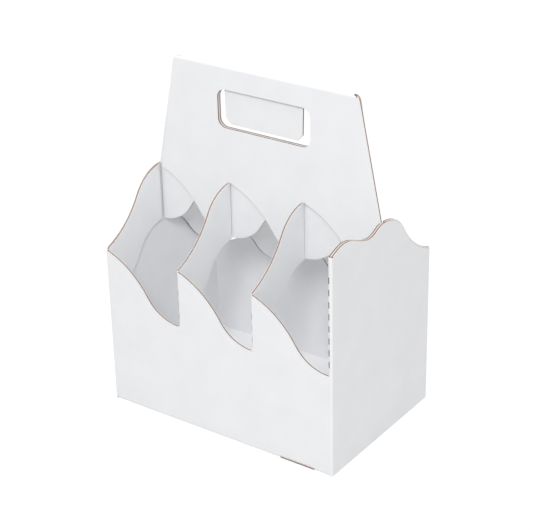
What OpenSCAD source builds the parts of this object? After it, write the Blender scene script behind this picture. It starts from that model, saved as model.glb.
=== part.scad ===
// Bottle carrier for six bottles, folded and glued from one die-cut sheet of white fluted board.
// X runs along the three bottles of a row, the front is at -Y, Z is up and the base stands on Z = 0.
// Turning the carrier half a turn about Z brings it onto itself, so one half is drawn and copied.

/* [Board] */
// Thickness of the fluted board
board = 1.6; // [1.2:0.1:2.2]
// Inside radius of a right-angle fold
fold_inside = 0.2; // [0.1:0.1:0.8]
// Gap left between the two layers of the folded-back end strip
spine_gap = 0.4; // [0.3:0.1:0.8]
// Clearance between cut edges that pass one another
clearance = 0.4; // [0.3:0.1:0.8]

/* [Carrier] */
// Outside width along a row of three bottles
width = 210; // [190:1:240]
// Height of the front wall at the foot of each wave
wall_low = 85; // [70:1:100]
// Rise of one wave, from its foot to its crest
wave_rise = 47.5; // [38:0.5:54]
// Radius of the tight end of a wave, which runs out level
wave_tight = 34; // [30:1:38]
// Radius of the long end of a wave, which runs out on a slope
wave_long = 74; // [60:1:90]
// Shift of the two middle folds of a wall, so that the dividers of both halves lap
fold_shift = 0.7; // [0.5:0.1:1.2]
// Height of the ripple along the front half of an end wall
ripple = 5; // [2:0.5:8]
// Set-back of an end wall's falling wave from the strip that is glued inside it
wave_setback = 2.4; // [1:0.2:3]
// Set-back of an end wall's glued edge from the corner
lap_setback = 2.6; // [1:0.2:6]

/* [Perforated folds] */
// Spacing of the cuts
cut_pitch = 9.7; // [7:0.1:14]
// Length of one cut
cut_length = 5; // [3:0.5:6]
// Width of one cut, opened by the fold
cut_width = 1.2; // [0.6:0.1:1.4]

/* [Handle] */
// Overall height up to the fold along the top of the handle
height = 274; // [262:1:300]
// Width of the handle along its top
handle_top = 166; // [130:1:176]
// Radius of the two top corners
handle_corner = 6; // [3:0.5:12]
// Inset of the foot of each ply's free side
free_inset = 2.7; // [1:0.1:6]
// Gap between the two plies of the handle
ply_gap = 1; // [0.6:0.1:1.4]
// Width of the hand hole
hole_width = 84; // [80:1:100]
// Height of the hand hole
hole_height = 31; // [28:0.5:36]
// Corner radius of the hand hole
hole_corner = 7; // [4:0.5:12]
// Board left above the hand hole
hole_cover = 18.5; // [15:0.5:26]

/* [Hand flap] */
// Width of the flap along its hinge
flap_top = 71; // [60:0.5:74]
// Width of the flap near its free edge
flap_foot = 69.5; // [58:0.5:72]
// Chamfer at the two free corners
flap_chamfer = 4.6; // [2:0.2:8]
// Open strip under the free edge
flap_lift = 3; // [1.5:0.5:6]
// Shift of the flap from the middle of the hole
flap_shift = -1.3; // [-2:0.1:2]
// Clearance along the hinge line
hinge_clearance = 0.3; // [0.2:0.1:0.5]

/* [Base and seams] */
// Length of the lock slot in the front bottom fold
slot_length = 31; // [20:1:40]
// Distance of the lock slot from the right end
slot_inset = 16; // [12:1:30]
// Length of the lock tab, which bends down into the slot
tab_length = 8; // [6:0.5:14]
// Depth of the short front bottom flap
short_flap = 60; // [40:1:66]
// Width of the glue flaps at the two glued corners
glue_width = 22; // [14:1:30]

/* [Hidden] */
$fn = 64;
bends = 3;
fold_radius = board + fold_inside;
pitch = (width - 3 * board - spine_gap) / bends;
depth = 2 * (pitch + board) + ply_gap;
wall_mid = wall_low + wave_rise;
wall_high = wall_mid + wave_rise;
wave_radii = wave_tight + wave_long;
wave_lean = atan2(wave_tight - wave_rise, pitch);
wave_span = sqrt(pow(pitch, 2) + pow(wave_tight - wave_rise, 2));
wave_sine = (pow(wave_span, 2) + pow(wave_radii, 2) - pow(wave_long, 2)) / (2 * wave_radii * wave_span);
wave_turn = asin(wave_sine) - wave_lean;
wave_exit = asin((wave_radii * sin(wave_turn) - pitch) / wave_long);
first_fold = board - width / 2;
spine_radius = board + spine_gap / 2;
ply_face = ply_gap / 2 + board;
wave_start = (ply_gap + board) / 2;
hump = wave_start - wave_setback;
steps = 9;
hinge_cut = 225;
spine_cut = 243;
hole_top = height - hole_cover;
hole_middle = hole_top - hole_height / 2;
hinge_height = hole_top - hinge_clearance - board;
base_inset = board + fold_radius;
rear_lift = board;
slot_right = width / 2 - slot_inset;

carrier();
hand_flap();

// Position of fold line k along X, counted from 1 at the left
function fold_x(k) = first_fold + (k - 1) * pitch + (k == 1 || k > bends ? 0 : fold_shift);

// Upright slab in the XZ plane, from the depth y0 towards the back
module facing_front(y0) {
    translate([0, y0 + board, 0])
        rotate([90, 0, 0])
            linear_extrude(board)
                children();
}

// Upright slab in the YZ plane, from x0 towards the right
module facing_side(x0) {
    translate([x0, 0, 0])
        rotate([90, 0, 90])
            linear_extrude(board)
                children();
}

// Points of a wave that falls from [0, wave_rise] to [pitch, 0], with its tight end at the crest
function crest_wave() = concat(
    [for (i = [0 : steps]) let (a = wave_turn * i / steps)
        [wave_tight * sin(a), wave_rise - wave_tight * (1 - cos(a))]],
    [for (i = [1 : steps]) let (a = wave_turn + (wave_exit - wave_turn) * i / steps)
        [wave_radii * sin(wave_turn) - wave_long * sin(a),
         wave_rise - wave_tight + wave_radii * cos(wave_turn) - wave_long * cos(a)]]
);

// The same wave turned half a turn, with its tight end at the foot
function foot_wave() = let (points = crest_wave())
    [for (i = [len(points) - 1 : -1 : 0]) [pitch - points[i][0], wave_rise - points[i][1]]];

// Ripple along the front half of an end wall: three quarters of a swing, then an easy rise to the hump
function swing(s) = s < 0.75 ? sin(360 * s) : -(1 + cos(720 * (s - 0.75))) / 2;
function ripples() = [for (i = [0 : 2 * steps - 1]) let (s = i / (2 * steps))
    [s * (depth / 2 + hump) - depth / 2, wall_high + ripple * swing(s)]];

// Area under a wave that rises away from the wall a strip is folded from, level for a margin at both ends
module wave_climb(below, margin) {
    translate([pitch, 0])
        mirror([1, 0])
            polygon(concat(
                [[-margin, -below], [-margin, wave_rise]],
                crest_wave(),
                [[pitch + margin, 0], [pitch + margin, -below]]
            ));
}

// Quarter of a rounded fold about Z, in the quadrant of positive X and Y
module fold_arc(tall, outside) {
    linear_extrude(tall)
        intersection() {
            difference() {
                circle(outside);
                circle(outside - board);
            }
            square(outside + 1);
        }
}

// Front wall outline: three waves in a row, with room for the folds that carry the strips
module wall_outline(foot) {
    difference() {
        polygon(concat(
            [[first_fold, 0]],
            [for (k = [1 : bends], q = foot_wave()) [q[0] + fold_x(k), q[1] + wall_low]],
            [[width / 2 - fold_radius, wall_low], [width / 2 - fold_radius, 0]]
        ));
        translate([first_fold - 1, -1])
            square([fold_radius + 1, height]);
        for (k = [2 : bends])
            translate([fold_x(k) - 1, wall_low])
                square([fold_radius + 1, height]);
        translate([base_inset - width / 2, -1])
            square([width - 2 * base_inset, foot + fold_radius + 1]);
    }
}

// Divider strip outline along Y and Z, between two parallel waves
module strip_outline() {
    translate([(board - depth) / 2, 0])
        intersection() {
            difference() {
                translate([0, wall_mid])
                    wave_climb(wave_rise + 2, 2 * board);
                translate([0, wall_low])
                    wave_climb(2 * wave_rise, 3 * board);
            }
            translate([fold_radius - board / 2, 0])
                square([pitch + board - 2 * fold_radius, height]);
        }
}

// End wall outline along Y and Z: rippled front half, one falling wave behind
module end_outline(front, back) {
    intersection() {
        polygon(concat(
            [[-depth / 2, 0]],
            ripples(),
            [for (q = crest_wave()) [q[0] + hump, q[1] + wall_mid]],
            [[depth / 2, wall_mid], [depth / 2, 0]]
        ));
        translate([front, -1])
            square([back - front, height]);
    }
}

// Tangent length of a top corner, and how far it reaches down a side that leans out by lean
function corner(lean) = let (turn = atan2(height - wall_high, lean), reach = handle_corner * tan(turn / 2))
    [reach, reach * cos(turn), reach * sin(turn)];

// Handle outline in XZ, with slanted sides and round top corners; the free side is on the left
module handle_outline() {
    foot = bends * pitch / 2;
    free_foot = foot - free_inset;
    top = handle_top / 2;
    joined = corner(foot - top);
    free = corner(free_foot - top);
    translate([fold_x(1) + board + foot, 0]) {
        polygon([
            [-free_foot, wall_mid],
            [foot, wall_mid],
            [foot, wall_high],
            [top + joined[1], height - joined[2]],
            [top - joined[0], height - handle_corner],
            [top - joined[0], height],
            [free[0] - top, height],
            [free[0] - top, height - handle_corner],
            [-top - free[1], height - free[2]],
            [-free_foot, wall_high]
        ]);
        for (x = [free[0] - top, top - joined[0]])
            translate([x, height - handle_corner])
                circle(handle_corner);
    }
}

// Hand hole with rounded corners
module hole_outline() {
    translate([0, hole_middle]) {
        square([hole_width - 2 * hole_corner, hole_height], center = true);
        square([hole_width, hole_height - 2 * hole_corner], center = true);
        for (sx = [-1, 1], sz = [-1, 1])
            translate([sx * (hole_width / 2 - hole_corner), sz * (hole_height / 2 - hole_corner)])
                circle(hole_corner);
    }
}

// One ply of the handle, toothed below by three waves
module ply() {
    facing_front(-ply_face)
        difference() {
            intersection() {
                handle_outline();
                translate([-width, 0])
                    square([2 * width, height - ply_face]);
            }
            hole_outline();
            polygon(concat(
                [[fold_x(1) - width, wall_mid - 1], [fold_x(1) - width, wall_high]],
                [for (k = [1 : bends], q = foot_wave()) [q[0] + fold_x(k) + board, q[1] + wall_mid]],
                [[width, wall_mid], [width, wall_mid - 1]]
            ));
            for (k = [2 : bends + 1])
                translate([fold_x(k) + board - fold_radius, wall_mid - 1])
                    square([fold_radius + 1, wave_rise + 1]);
        }
}

// Fold along the top of the handle, which joins the two plies
module top_fold() {
    intersection() {
        translate([-width / 2, 0, height - ply_face])
            rotate([90, 0, 90])
                linear_extrude(width)
                    difference() {
                        intersection() {
                            circle(ply_face);
                            translate([-ply_face, 0])
                                square([2 * ply_face, ply_face]);
                        }
                        circle(ply_gap / 2);
                    }
        translate([0, 2 * ply_face, 0])
            rotate([90, 0, 0])
                linear_extrude(4 * ply_face)
                    intersection() {
                        handle_outline();
                        mirror([1, 0])
                            handle_outline();
                    }
    }
}

// Glue flap of the front wall against the inside of the left end wall
module glue_flap() {
    facing_side(first_fold)
        translate([fold_radius - depth / 2, 0])
            polygon([
                [0, rear_lift + board + clearance],
                [glue_width, 4 * base_inset],
                [glue_width, wall_low - 3 * base_inset],
                [0, wall_low + base_inset]
            ]);
}

// Strip folded back against the end wall along a doubled spine, on the front half
module end_strip() {
    x0 = fold_x(bends + 1);
    front = spine_radius - depth / 2;
    facing_side(x0)
        difference() {
            end_outline(front, -ply_gap / 2 - fold_radius);
            translate([(board - depth) / 2, wall_low])
                wave_climb(wall_low, 2 * board);
        }
    translate([width / 2 - spine_radius, front, wall_low]) {
        rotate([0, 0, 180])
            fold_arc(wall_high - wall_low, spine_radius);
        rotate([0, 0, -90])
            fold_arc(wall_high - wall_low, spine_radius);
    }
}

// End wall on the right, carried round the corner from the front wall
module end_wall() {
    facing_side(width / 2 - board)
        difference() {
            end_outline(spine_radius - depth / 2, depth / 2 - fold_radius - lap_setback);
            translate([-depth, -1])
                square([depth / 2 + fold_radius, wall_low + 1]);
        }
    translate([width / 2 - fold_radius, fold_radius - depth / 2, 0])
        rotate([0, 0, -90])
            fold_arc(wall_low, fold_radius);
}

// Column of cuts through an upright fold, from its axis outwards at an angle
module perforation(tall, angle) {
    for (i = [1 : floor(tall / cut_pitch) - 1])
        translate([0, 0, i * cut_pitch - cut_length / 2])
            rotate([0, 0, angle])
                translate([0, -cut_width / 2, 0])
                    cube([spine_radius + 1, cut_width, cut_length]);
}

// Front wall with its divider strips, one ply and one end wall
module half(foot) {
    difference() {
        union() {
            facing_front(-depth / 2)
                wall_outline(foot);
            for (k = [1 : bends]) {
                low = k == 1 ? 0 : wall_low;
                translate([fold_x(k) + fold_radius, fold_radius - depth / 2, low])
                    rotate([0, 0, 180])
                        fold_arc(wall_mid - low, fold_radius);
                facing_side(fold_x(k))
                    strip_outline();
            }
            for (k = [2 : bends + 1])
                translate([fold_x(k) + board - fold_radius, -ply_gap / 2 - fold_radius, wall_mid])
                    fold_arc(wall_high - wall_mid, fold_radius);
            ply();
            glue_flap();
            end_strip();
            end_wall();
            bottom_fold(foot);
        }
        for (k = [2 : bends])
            translate([fold_x(k) + fold_radius, fold_radius - depth / 2, wall_low])
                perforation(wave_rise, hinge_cut);
        translate([width / 2 - spine_radius, spine_radius - depth / 2, wall_low])
            perforation(wall_high - wall_low, spine_cut);
    }
}

// Rounded fold along the foot of the front wall
module bottom_fold(foot) {
    translate([base_inset - width / 2, fold_radius - depth / 2, foot + fold_radius])
        rotate([-90, 0, -90])
            mirror([1, 0, 0])
                rotate([0, 0, 90])
                    fold_arc(width - 2 * base_inset, fold_radius);
}

// Short bottom flap folded from the front wall
module front_flap() {
    translate([base_inset - width / 2, fold_radius - depth / 2, 0])
        linear_extrude(board)
            polygon([
                [0, 0],
                [width - 2 * base_inset, 0],
                [width - 4 * base_inset, short_flap],
                [2 * base_inset, short_flap]
            ]);
}

// Opening for the lock tab in the front bottom fold and in the flap below it
module lock_slot() {
    translate([slot_right - slot_length, -depth / 2 - 1, -1])
        cube([slot_length, tab_length + clearance + 1, board + clearance + 1]);
}

// Full bottom flap folded from the rear wall, with a lock tab that bends down to the front bottom edge
module rear_flap() {
    front = fold_radius - depth / 2 + clearance;
    tab_end = tab_length - depth / 2;
    difference() {
        translate([base_inset - width / 2, front, rear_lift])
            cube([width - 2 * base_inset, depth / 2 - fold_radius - front, board]);
        translate([slot_right - slot_length, front - 1, rear_lift - 1])
            cube([slot_length, tab_end - front + 1, board + 2]);
    }
    translate([slot_right - slot_length + clearance, 0, 0])
        rotate([90, 0, 90])
            linear_extrude(slot_length - 2 * clearance)
                polygon([
                    [-depth / 2, 0],
                    [front, 0],
                    [tab_end, rear_lift],
                    [tab_end, rear_lift + board],
                    [front, board],
                    [-depth / 2, board]
                ]);
}

// The whole folded sheet
module carrier() {
    color("WhiteSmoke")
        union() {
            difference() {
                union() {
                    half(0);
                    front_flap();
                }
                lock_slot();
            }
            rotate([0, 0, 180])
                half(rear_lift);
            top_fold();
            rear_flap();
        }
}

// Flap cut from the rear ply, with a rounded crease along its hinge
module hand_flap() {
    foot = hole_top - hole_height + flap_lift;
    color("White")
        union() {
            facing_front(ply_gap / 2)
                translate([flap_shift, 0])
                    polygon([
                        [-flap_top / 2, hinge_height],
                        [-flap_foot / 2, foot + flap_chamfer],
                        [flap_chamfer - flap_foot / 2, foot],
                        [flap_foot / 2 - flap_chamfer, foot],
                        [flap_foot / 2, foot + flap_chamfer],
                        [flap_top / 2, hinge_height]
                    ]);
            translate([flap_shift - flap_top / 2, ply_face, hinge_height])
                rotate([90, 0, 90])
                    linear_extrude(flap_top)
                        intersection() {
                            circle(board);
                            translate([-board, 0])
                                square(board);
                        }
        }
}
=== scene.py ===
import math

import bmesh
import bpy
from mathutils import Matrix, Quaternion, Vector


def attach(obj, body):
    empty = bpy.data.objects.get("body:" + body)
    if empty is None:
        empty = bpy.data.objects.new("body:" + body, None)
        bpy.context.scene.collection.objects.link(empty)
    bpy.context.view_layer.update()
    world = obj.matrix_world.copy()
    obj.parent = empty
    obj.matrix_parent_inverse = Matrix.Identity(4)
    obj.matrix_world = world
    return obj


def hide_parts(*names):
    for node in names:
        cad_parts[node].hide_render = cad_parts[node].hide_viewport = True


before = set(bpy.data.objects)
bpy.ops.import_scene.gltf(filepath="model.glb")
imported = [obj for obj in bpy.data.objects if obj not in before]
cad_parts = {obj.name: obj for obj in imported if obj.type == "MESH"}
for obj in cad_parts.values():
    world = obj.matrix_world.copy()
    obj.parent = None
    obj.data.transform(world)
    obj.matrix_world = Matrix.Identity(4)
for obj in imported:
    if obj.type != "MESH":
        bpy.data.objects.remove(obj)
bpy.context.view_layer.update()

# Camera: stands to the right of the front and looks down on the open carrier,
# with a long lens, so that the upright folds stay nearly parallel.
camera_turn, camera_fall, camera_roll = 35.83261, 26.53005, -1.35009
camera_data = bpy.data.cameras.new("camera")
camera_data.sensor_width = 36.0
camera_data.lens = 110.435
camera = bpy.data.objects.new("camera", camera_data)
bpy.context.scene.collection.objects.link(camera)
camera.location = (0.66218, -0.91904, 0.68237)
camera.rotation_mode = "QUATERNION"
camera.rotation_quaternion = (
    Quaternion((0, 0, 1), math.radians(camera_turn))
    @ Quaternion((1, 0, 0), math.radians(90 - camera_fall))
    @ Quaternion((0, 0, 1), math.radians(camera_roll))
)
bpy.context.scene.camera = camera

# Carrier: one die-cut sheet of micro-flute board, white liner on both sides, folded at its
# creases and glued at two corners. Every cut edge bares the brown fluting between the liners.
board = 0.0016
width = 0.210
height = 0.274
wall_low, wall_mid, wall_high = 0.085, 0.1325, 0.180

# Outside radius of a fold, gap between the handle's plies, gap in the doubled spine, shift of
# the two middle folds and length of one flute.
bend = 0.0018
gap = 0.001
spine_gap = 0.0004
fold_shift = 0.0007
flute = 0.0033

pitch = (width - 3 * board - spine_gap) / 3
depth = 2 * (pitch + board) + gap
first_fold = board - width / 2
fold_lines = (first_fold + pitch + fold_shift, first_fold + 2 * pitch + fold_shift)

# Where panels end: half lengths of the base, of the handle's foot and of the room between the
# end strips, the heights of the folds at the foot and at the top, and the lock tab's two ends.
base_reach, handle_reach, end_zone = 0.1017, 0.1032, 0.1012
foot_fold, crown_fold = 0.0052, 0.0022
tab = (0.0584, 0.0886)

# Slack for finding the board that a face belongs to, the parts of a normal that count as none,
# and the area above which a face is a flat panel and not a facet of a fold.
hair, graze, touch = 1e-5, 5e-5, 1e-4
flat, slant = 0.02, 0.05
least_panel = 3e-4

# Each upright fold: the axis it bends round, and the quarter that it lies in.
upright_folds = [(x + bend, bend - depth / 2, -1, -1) for x in (first_fold,) + fold_lines]
upright_folds += [
    (x + board - bend, -gap / 2 - bend, 1, 1) for x in fold_lines + (first_fold + 3 * pitch,)
]
upright_folds += [(width / 2 - bend, bend - depth / 2, 0, -1)]
upright_folds += [(-x, -y, -side, -way) for x, y, side, way in upright_folds]


def fold_at(point):
    """The distance of a point from the axis of the upright fold it lies in, or None on a flat panel."""
    for x, y, side, way in upright_folds:
        across, along = point.x - x, point.y - y
        away = math.hypot(across, along)
        if across * side > -hair and along * way > -hair and away < bend + graze:
            return away
    return None


def board_of(centre):
    """Names the axis across the board at a point, and the depth at which that board begins."""
    x, y, z = centre
    if z < 2 * board + touch and abs(x) < base_reach and abs(y) < depth / 2 - board - touch:
        return "z", 0.0
    if z < board and tab[0] < x < tab[1] and y < touch - depth / 2:
        return "z", 0.0
    if abs(y) > depth / 2 - board - graze:
        return "y", depth / 2 - board
    if abs(y) < gap / 2 + board + graze and z > wall_mid - touch and abs(x) < handle_reach:
        return "y", gap / 2
    if abs(x) > width / 2 - board - graze:
        return "x", width / 2 - board
    if abs(x) > end_zone:
        glued = x * y > 0
        return "x", width / 2 - 2 * board - (0 if glued else spine_gap)
    for line in fold_lines:
        if y < 0 and line - touch < x < line + board + touch:
            return "x", line
        if y > 0 and line - touch < -x < line + board + touch:
            return "x", line
    return "x", 0.0


def is_cut(axis, centre, normal):
    """True on a face that the die cut, which bares the fluting, and False on a liner or a fold."""
    across, along, up = (abs(part) for part in normal)
    if axis == "z":
        return up < 0.5
    at_foot, at_crown = centre.z < foot_fold, centre.z > height - crown_fold
    if across < flat and up > flat and (at_foot or at_crown):
        return along < flat and at_foot
    if up > flat:
        return True
    if across > slant and along > slant:
        return False
    return across > 0.5 if axis == "y" else along > 0.5


def is_slit(centre, normal):
    """True on a wall of a perforation through an upright fold, and False on the crushed fold itself."""
    if abs(normal.z) > 0.9:
        fold_ends = (0.0, board, wall_low, wall_mid, wall_high)
        return min(abs(centre.z - end) for end in fold_ends) > touch
    return bend - 0.8 * board < fold_at(centre) < bend - 0.2 * board


def take_sheet(name):
    """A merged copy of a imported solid, with its flat panels whole again."""
    shell = bmesh.new()
    shell.from_mesh(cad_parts[name].data)
    bmesh.ops.remove_doubles(shell, verts=shell.verts, dist=2e-6)
    bmesh.ops.dissolve_limit(
        shell, angle_limit=math.radians(0.4), verts=shell.verts, edges=shell.edges, delimit=set()
    )
    return shell


def lay_fluting(shell):
    """Marks cut edges with the second material and lays the flutes along every panel."""
    flutes = shell.loops.layers.uv.new("flutes")
    for face in shell.faces:
        centre = face.calc_center_median()
        axis, start = board_of(centre)
        folded = fold_at(centre) is not None
        cut = is_slit(centre, face.normal) if folded else is_cut(axis, centre, face.normal)
        face.material_index = 1 if cut else 0
        for corner in face.loops:
            x, y, z = corner.vert.co
            if folded and cut:
                away = fold_at(corner.vert.co) or bend
                corner[flutes].uv = (z, 0.5 + 0.5 * (away - bend + board / 2) / board)
            elif axis == "z":
                corner[flutes].uv = (x, z / board) if cut else (x, y)
            elif axis == "y":
                corner[flutes].uv = (x, (abs(y) - start) / board) if cut else (x, z)
            elif abs(centre.x) > end_zone:
                corner[flutes].uv = (y, (abs(x) - start) / board) if cut else (y, z)
            else:
                side = x if centre.y < 0 else -x
                corner[flutes].uv = (y, (side - start) / board) if cut else (y, z)


def make_piece(name, shell):
    """Turns a shell into an object with flat panels and, between them, smoothly rounded folds."""
    mesh = bpy.data.meshes.new(name)
    shell.to_mesh(mesh)
    shell.free()
    mesh.set_sharp_from_angle(angle=math.radians(32))
    for face in mesh.polygons:
        face.use_smooth = face.area < least_panel
    piece = bpy.data.objects.new(name, mesh)
    bpy.context.scene.collection.objects.link(piece)
    even = piece.modifiers.new("even_shading", "WEIGHTED_NORMAL")
    even.keep_sharp = True
    return piece


sheet = take_sheet("carrier")
lay_fluting(sheet)
carrier = make_piece("folded_sheet", sheet)

# White liner: bleached paper, a little cloudy, with fine fibres and the faint ribs of the
# flutes that it is glued to.
white_liner = bpy.data.materials.new("white_liner")
white_liner.use_nodes = True
nodes, links = white_liner.node_tree.nodes, white_liner.node_tree.links
surface = nodes["Principled BSDF"]
surface.inputs["Specular IOR Level"].default_value = 0.3
place = nodes.new("ShaderNodeTexCoord")

clouds = nodes.new("ShaderNodeTexNoise")
clouds.inputs["Scale"].default_value = 45.0
clouds.inputs["Detail"].default_value = 5.0
paper = nodes.new("ShaderNodeValToRGB")
paper.color_ramp.elements[0].position = 0.30
paper.color_ramp.elements[0].color = (0.855, 0.862, 0.880, 1)
paper.color_ramp.elements[1].position = 0.70
paper.color_ramp.elements[1].color = (0.885, 0.890, 0.902, 1)
links.new(place.outputs["Object"], clouds.inputs["Vector"])
links.new(clouds.outputs["Fac"], paper.inputs["Fac"])
links.new(paper.outputs["Color"], surface.inputs["Base Color"])

fibres = nodes.new("ShaderNodeTexNoise")
fibres.inputs["Scale"].default_value = 1500.0
fibres.inputs["Detail"].default_value = 3.0
dullness = nodes.new("ShaderNodeMapRange")
dullness.inputs["To Min"].default_value = 0.48
dullness.inputs["To Max"].default_value = 0.66
links.new(place.outputs["Object"], fibres.inputs["Vector"])
links.new(fibres.outputs["Fac"], dullness.inputs["Value"])
links.new(dullness.outputs["Result"], surface.inputs["Roughness"])

along_board = nodes.new("ShaderNodeUVMap")
along_board.uv_map = "flutes"
ribs = nodes.new("ShaderNodeTexWave")
ribs.bands_direction = "X"
ribs.inputs["Scale"].default_value = 2 * math.pi / (20 * flute)
ribs.inputs["Distortion"].default_value = 0.0
rib_relief = nodes.new("ShaderNodeBump")
rib_relief.inputs["Strength"].default_value = 1.0
rib_relief.inputs["Distance"].default_value = 0.000008
fibre_relief = nodes.new("ShaderNodeBump")
fibre_relief.inputs["Strength"].default_value = 1.0
fibre_relief.inputs["Distance"].default_value = 0.000012
links.new(along_board.outputs["UV"], ribs.inputs["Vector"])
links.new(ribs.outputs["Fac"], rib_relief.inputs["Height"])
links.new(fibres.outputs["Fac"], fibre_relief.inputs["Height"])
links.new(rib_relief.outputs["Normal"], fibre_relief.inputs["Normal"])
links.new(fibre_relief.outputs["Normal"], surface.inputs["Normal"])

# Cut edge: the die leaves the two white liners as thin lines, with the kraft-brown wave of
# the fluting and the hollows beside it showing between them; the hollows are painted shade, a darker
# brown.
cut_edge = bpy.data.materials.new("cut_edge")
cut_edge.use_nodes = True
nodes, links = cut_edge.node_tree.nodes, cut_edge.node_tree.links
surface = nodes["Principled BSDF"]
surface.inputs["Roughness"].default_value = 0.85
surface.inputs["Specular IOR Level"].default_value = 0.2
place = nodes.new("ShaderNodeTexCoord")
across_board = nodes.new("ShaderNodeUVMap")
across_board.uv_map = "flutes"
parts = nodes.new("ShaderNodeSeparateXYZ")
links.new(across_board.outputs["UV"], parts.inputs["Vector"])


def sum_of(tree, operation, first, second=None):
    """Adds one arithmetic node; each operand is a number or another node's output."""
    step = tree.nodes.new("ShaderNodeMath")
    step.operation = operation
    for i, operand in enumerate((first, second)):
        if isinstance(operand, (int, float)):
            step.inputs[i].default_value = operand
        elif operand is not None:
            tree.links.new(operand, step.inputs[i])
    return step.outputs[0]


tree = cut_edge.node_tree
layer = sum_of(tree, "FRACT", parts.outputs["Y"])
wave = sum_of(tree, "SINE", sum_of(tree, "MULTIPLY", parts.outputs["X"], 2 * math.pi / flute))
middle = sum_of(tree, "ADD", sum_of(tree, "MULTIPLY", wave, 0.2), 0.5)
off_wave = sum_of(tree, "ABSOLUTE", sum_of(tree, "SUBTRACT", layer, middle))
off_centre = sum_of(tree, "ABSOLUTE", sum_of(tree, "SUBTRACT", layer, 0.5))

dust = nodes.new("ShaderNodeTexNoise")
dust.inputs["Scale"].default_value = 2600.0
dust.inputs["Detail"].default_value = 4.0
links.new(place.outputs["Object"], dust.inputs["Vector"])
frayed = sum_of(tree, "ADD", off_centre, sum_of(tree, "MULTIPLY", dust.outputs["Fac"], 0.08))

on_wave = nodes.new("ShaderNodeMapRange")
on_wave.interpolation_type = "SMOOTHSTEP"
on_wave.inputs["From Min"].default_value = 0.17
on_wave.inputs["From Max"].default_value = 0.09
links.new(off_wave, on_wave.inputs["Value"])
on_liner = nodes.new("ShaderNodeMapRange")
on_liner.interpolation_type = "SMOOTHSTEP"
on_liner.inputs["From Min"].default_value = 0.29
on_liner.inputs["From Max"].default_value = 0.35
links.new(frayed, on_liner.inputs["Value"])

# Kraft brown on the wave; the darker end is painted shade that stands for the shadow in the hollows
# between flutes.
kraft_and_hollow_shade = nodes.new("ShaderNodeValToRGB")
kraft_and_hollow_shade.color_ramp.elements[0].color = (0.185, 0.072, 0.027, 1)
kraft_and_hollow_shade.color_ramp.elements[1].color = (0.310, 0.135, 0.052, 1)
links.new(on_wave.outputs["Result"], kraft_and_hollow_shade.inputs["Fac"])
bare = nodes.new("ShaderNodeMix")
bare.data_type = "RGBA"
bare.inputs["B"].default_value = (0.80, 0.795, 0.79, 1)
links.new(on_liner.outputs["Result"], bare.inputs["Factor"])
links.new(kraft_and_hollow_shade.outputs["Color"], bare.inputs["A"])
links.new(bare.outputs["Result"], surface.inputs["Base Color"])

rough_cut = nodes.new("ShaderNodeBump")
rough_cut.inputs["Strength"].default_value = 1.0
rough_cut.inputs["Distance"].default_value = 0.00006
links.new(on_wave.outputs["Result"], rough_cut.inputs["Height"])
links.new(rough_cut.outputs["Normal"], surface.inputs["Normal"])

carrier.data.materials.append(white_liner)
carrier.data.materials.append(cut_edge)
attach(carrier, "carrier")
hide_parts("carrier")

# Hand flap: the piece of the rear ply that hangs in the hand hole from its top crease.
# It is the same board, cut free on three sides with clipped lower corners.
flap_shell = take_sheet("hand_flap")
flutes = flap_shell.loops.layers.uv.new("flutes")
for face in flap_shell.faces:
    cut = abs(face.normal.y) < slant
    face.material_index = 1 if cut else 0
    for corner in face.loops:
        x, y, z = corner.vert.co
        corner[flutes].uv = (x, (y - gap / 2) / board) if cut else (x, z)
flap = make_piece("hand_flap_board", flap_shell)
flap.data.materials.append(white_liner)
flap.data.materials.append(cut_edge)
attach(flap, "hand_flap")
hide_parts("hand_flap")

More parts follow.
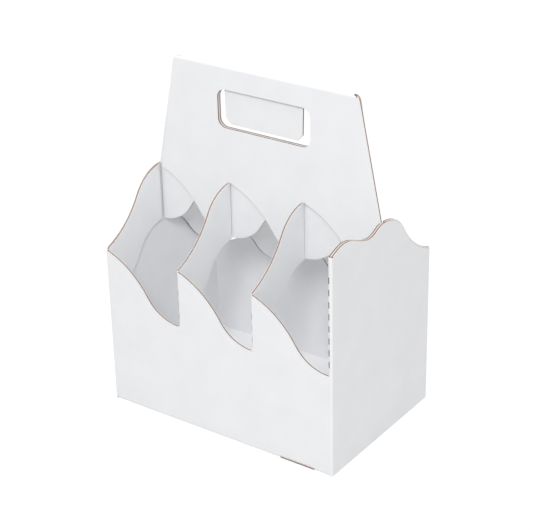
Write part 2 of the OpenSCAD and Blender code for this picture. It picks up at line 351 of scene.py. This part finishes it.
# Floor: a plain white studio sweep that the carrier stands on. It keeps a faint shadow and
# looks white to the camera, but throws back less light than it shows.
floor_shell = bmesh.new()
bmesh.ops.create_grid(floor_shell, x_segments=1, y_segments=1, size=6.0)
floor_mesh = bpy.data.meshes.new("floor")
floor_shell.to_mesh(floor_mesh)
floor_shell.free()
floor = bpy.data.objects.new("floor", floor_mesh)
bpy.context.scene.collection.objects.link(floor)
floor_white = bpy.data.materials.new("floor_white")
floor_white.use_nodes = True
nodes, links = floor_white.node_tree.nodes, floor_white.node_tree.links
nodes["Principled BSDF"].inputs["Base Color"].default_value = (0.62, 0.62, 0.62, 1)
nodes["Principled BSDF"].inputs["Roughness"].default_value = 0.9
glow = nodes.new("ShaderNodeEmission")
glow.inputs["Color"].default_value = (1, 1, 1, 1)
glow.inputs["Strength"].default_value = 1.1
seen = nodes.new("ShaderNodeLightPath")
tree = floor_white.node_tree
looked_at = sum_of(tree, "MAXIMUM", seen.outputs["Is Camera Ray"], seen.outputs["Is Glossy Ray"])
looked_at = sum_of(tree, "MAXIMUM", looked_at, seen.outputs["Is Transmission Ray"])
blend = nodes.new("ShaderNodeMixShader")
links.new(sum_of(tree, "MULTIPLY", looked_at, 0.85), blend.inputs[0])
links.new(nodes["Principled BSDF"].outputs[0], blend.inputs[1])
links.new(glow.outputs[0], blend.inputs[2])
links.new(blend.outputs[0], nodes["Material Output"].inputs[0])
floor.data.materials.append(floor_white)

# Studio light: an even white room all round, a soft lamp above the camera that draws thin
# shadows under the edges, and a weak one overhead that reaches down to the base.
world = bpy.data.worlds.new("studio")
bpy.context.scene.world = world
world.use_nodes = True
world.node_tree.nodes["Background"].inputs["Color"].default_value = (1, 1, 1, 1)
world.node_tree.nodes["Background"].inputs["Strength"].default_value = 0.68
for name, spot, size, power in (
    ("front_lamp", (1.24, -2.1, 2.04), 0.8, 39),
    ("top_lamp", (0.0, 0.0, 2.2), 0.8, 8),
):
    lamp_data = bpy.data.lights.new(name, "AREA")
    lamp_data.shape = "DISK"
    lamp_data.size = size
    lamp_data.energy = power
    lamp = bpy.data.objects.new(name, lamp_data)
    bpy.context.scene.collection.objects.link(lamp)
    lamp.location = spot
    lamp.rotation_mode = "QUATERNION"
    lamp.rotation_quaternion = (Vector((0, 0, 0.1)) - lamp.location).to_track_quat("-Z", "Y")

bpy.context.scene.view_settings.view_transform = "Standard"
